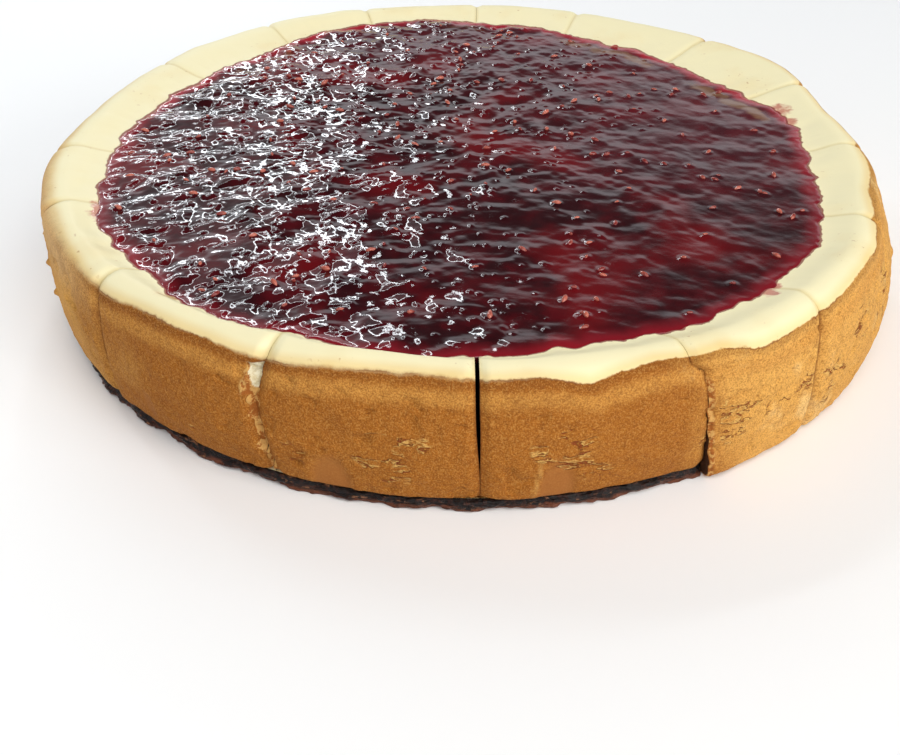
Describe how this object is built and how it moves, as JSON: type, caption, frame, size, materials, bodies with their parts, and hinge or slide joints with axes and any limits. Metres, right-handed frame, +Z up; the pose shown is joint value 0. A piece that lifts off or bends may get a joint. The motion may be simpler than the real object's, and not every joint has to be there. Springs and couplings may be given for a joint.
{
  "type": "cheesecake",
  "caption": "round baked cheesecake with browned sides, a pale rounded rim and a glossy raspberry jam top, cut into slices that still stand together on a thin dark crumb base",
  "frame": {"origin": "the middle of the flat underside of the crumb base", "axes": "+Z up through the jam, -Y towards the viewer, +X to the viewer's right"},
  "size_m": [0.2586, 0.2578, 0.0424],
  "materials": {
    "baked_cheese": "soft baked cheese, cream on the rim and golden brown with a fine grain on the side",
    "raspberry_jam": "wet glossy dark red jam with pale seeds",
    "dark_crumb": "dry pressed dark biscuit crumb"
  },
  "bodies": {
    "root": {"slice_01": "baked_cheese", "slice_02": "baked_cheese", "slice_03": "baked_cheese", "slice_04": "baked_cheese", "slice_05": "baked_cheese", "slice_06": "baked_cheese", "slice_07": "baked_cheese", "slice_08": "baked_cheese", "slice_09": "baked_cheese", "slice_10": "baked_cheese", "slice_11": "baked_cheese", "slice_12": "baked_cheese", "slice_13": "baked_cheese", "slice_14": "baked_cheese", "slice_15": "baked_cheese", "slice_16": "baked_cheese", "jam_top": "raspberry_jam", "crumb_base": "dark_crumb"}
  },
  "joints": []
}
